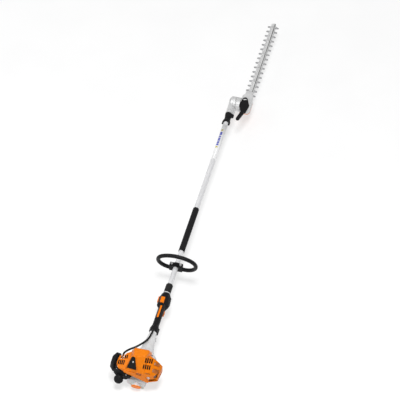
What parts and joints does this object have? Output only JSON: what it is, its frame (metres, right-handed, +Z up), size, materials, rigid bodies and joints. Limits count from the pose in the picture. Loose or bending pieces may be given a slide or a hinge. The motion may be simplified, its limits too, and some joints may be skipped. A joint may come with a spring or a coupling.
{
  "type": "pole hedge trimmer",
  "caption": "Long-reach petrol hedge trimmer: rear engine, shaft with control and loop handles, tilting head and twin toothed reciprocating blades.",
  "frame": {"origin": "on the ground at the middle of the fuel tank's foot, below the shaft axis", "axes": "+Y along the shaft from the engine to the cutter, +Z up, +X to the right seen from the engine end"},
  "size_m": [0.2557, 2.4794, 0.2361],
  "materials": {
    "shroud_orange": "moulded, slightly glossy",
    "control_orange": "moulded, slightly glossy",
    "cover_orange": "powder coat",
    "black_plastic": "fine moulded grain",
    "handle_plastic": "fine moulded grain",
    "tank_plastic": "translucent off-white, satin",
    "housing_plastic": "satin off-white",
    "tube_paint": "gloss white paint",
    "cast_alloy": "die cast, bead blasted",
    "silencer_steel": "pressed sheet",
    "machined_steel": "machined",
    "blade_steel": "ground",
    "guide_alloy": "extruded",
    "screw_steel": "zinc plated",
    "foam_rubber": "closed-cell foam",
    "collar_rubber": "ribbed rubber",
    "cable_jacket": "smooth jacket",
    "bush_bronze": "sintered",
    "filter_felt": "pleated felt",
    "ceramic": "glazed"
  },
  "bodies": {
    "machine": {"crankcase": "cast_alloy", "cylinder": "cast_alloy", "main_bearings": "machined_steel", "fan_housing": "housing_plastic", "housing_screws": "screw_steel", "engine_shroud": "shroud_orange", "plug_cover": "black_plastic", "air_filter_cover": "black_plastic", "filter_element": "filter_felt", "filter_base": "black_plastic", "carburetor": "cast_alloy", "muffler": "silencer_steel", "spark_plug": "ceramic", "starter_housing": "housing_plastic", "fuel_tank": "tank_plastic", "drive_tube": "tube_paint", "shaft_bushes": "bush_bronze", "foam_grip": "foam_rubber", "loop_handle": "handle_plastic", "loop_clamp": "handle_plastic", "clamp_bolts": "screw_steel", "handle_left": "handle_plastic", "handle_right": "handle_plastic", "rubber_collar": "collar_rubber", "collar_ring": "housing_plastic", "throttle_cable": "cable_jacket", "sleeve_spring": "machined_steel", "spring_seat": "machined_steel", "gear_arm": "cast_alloy"},
    "piston_set": {"piston": "machined_steel", "rod_pins": "machined_steel", "connecting_rod": "machined_steel"},
    "crank": {"crankshaft": "machined_steel", "flywheel_fan": "black_plastic", "clutch_shoes": "machined_steel"},
    "drive": {"drive_shaft": "machined_steel", "clutch_drum": "machined_steel", "shaft_pinion": "machined_steel"},
    "cross": {"cross_shaft": "machined_steel"},
    "head": {"gear_housing": "cast_alloy", "base_cover": "cover_orange", "adjusting_handle": "black_plastic", "guide_bar": "guide_alloy", "blade_bolts": "screw_steel"},
    "blade_crank": {"crank_gear": "machined_steel"},
    "upper": {"upper_blade": "blade_steel", "upper_link": "machined_steel"},
    "lower": {"lower_blade": "blade_steel", "lower_link": "machined_steel"},
    "lock": {"lock_sleeve": "handle_plastic", "lock_bolt": "machined_steel"},
    "trigger": {"throttle_trigger": "control_orange"},
    "lockout": {"lockout_lever": "control_orange"},
    "stop": {"stop_button": "control_orange"},
    "slider": {"speed_slider": "control_orange"},
    "choke": {"choke_lever": "black_plastic"},
    "primer": {"primer_bulb": "black_plastic"},
    "grip": {"starter_grip": "black_plastic"},
    "pulley": {"rope_pulley": "black_plastic"},
    "cap": {"fuel_cap": "control_orange"}
  },
  "joints": [
    {"name": "head_tilt", "type": "hinge", "parent": "machine", "child": "head", "pos_m": [0, 1.765, 0.115], "axis": [1, 0, 0], "range_deg": [-90, 55]},
    {"name": "drive_shaft_spin", "type": "hinge", "parent": "machine", "child": "drive", "pos_m": [0, 1, 0.115], "axis": [0, 1, 0], "continuous": true},
    {"name": "cross_shaft_spin", "type": "hinge", "parent": "machine", "child": "cross", "pos_m": [0, 1.765, 0.115], "axis": [1, 0, 0], "continuous": true},
    {"name": "crank_gear_spin", "type": "hinge", "parent": "head", "child": "blade_crank", "pos_m": [0.066, 1.765, 0.115], "axis": [0, 0, 1], "continuous": true},
    {"name": "upper_blade_slide", "type": "slide", "parent": "head", "child": "upper", "axis": [0, 1, 0], "range_m": [-0.0085, 0.0085]},
    {"name": "lower_blade_slide", "type": "slide", "parent": "head", "child": "lower", "axis": [0, 1, 0], "range_m": [-0.0085, 0.0085]},
    {"name": "crank_spin", "type": "hinge", "parent": "machine", "child": "crank", "pos_m": [0, 0.01, 0.115], "axis": [0, 1, 0], "continuous": true},
    {"name": "piston_stroke", "type": "slide", "parent": "machine", "child": "piston_set", "axis": [0, 0, 1], "range_m": [-0.025, 0]},
    {"name": "lock_sleeve_slide", "type": "slide", "parent": "machine", "child": "lock", "axis": [0, -1, 0], "range_m": [0, 0.012], "stiffness_N_per_m": 900, "springref_m": -0.004, "deforming": ["sleeve_spring"]},
    {"name": "throttle_pull", "type": "hinge", "parent": "machine", "child": "trigger", "pos_m": [0, 0.392, 0.091], "axis": [1, 0, 0], "range_deg": [0, 16], "stiffness_Nm_per_rad": 0.6, "springref_deg": -14.32},
    {"name": "lockout_press", "type": "hinge", "parent": "machine", "child": "lockout", "pos_m": [0, 0.302, 0.1342], "axis": [1, 0, 0], "range_deg": [-3.5, 0], "stiffness_Nm_per_rad": 1.5, "springref_deg": 2.86},
    {"name": "stop_press", "type": "slide", "parent": "machine", "child": "stop", "axis": [0, 0, -1], "range_m": [0, 0.0025], "stiffness_N_per_m": 1500, "springref_m": -0.0008},
    {"name": "speed_slide", "type": "slide", "parent": "machine", "child": "slider", "axis": [0, 1, 0], "range_m": [0, 0.01]},
    {"name": "choke_turn", "type": "hinge", "parent": "machine", "child": "choke", "pos_m": [-0.066, -0.0518, 0.108], "axis": [1, 0, 0], "range_deg": [0, 40]},
    {"name": "primer_press", "type": "slide", "parent": "machine", "child": "primer", "axis": [0, 1, 0], "range_m": [0, 0.0005], "stiffness_N_per_m": 1500, "springref_m": -0.0008},
    {"name": "starter_pull", "type": "slide", "parent": "machine", "child": "grip", "axis": [0, -1, 0], "range_m": [0, 0.25], "stiffness_N_per_m": 40, "springref_m": -0.05},
    {"name": "pulley_spin", "type": "hinge", "parent": "machine", "child": "pulley", "pos_m": [0, 0, 0.115], "axis": [0, 1, 0], "range_deg": [0, 600]},
    {"name": "cap_turn", "type": "hinge", "parent": "machine", "child": "cap", "pos_m": [-0.013, -0.0435, 0.028], "axis": [0, -0.9135, -0.4067], "continuous": true}
  ],
  "couplings": [
    {"joint": "cross_shaft_spin", "follows": "drive_shaft_spin", "ratio": -0.5},
    {"joint": "crank_gear_spin", "follows": "drive_shaft_spin", "ratio": 0.25},
    {"joint": "lower_blade_slide", "follows": "upper_blade_slide", "ratio": -1},
    {"joint": "pulley_spin", "follows": "starter_pull", "rad_per_m": 41.667}
  ]
}
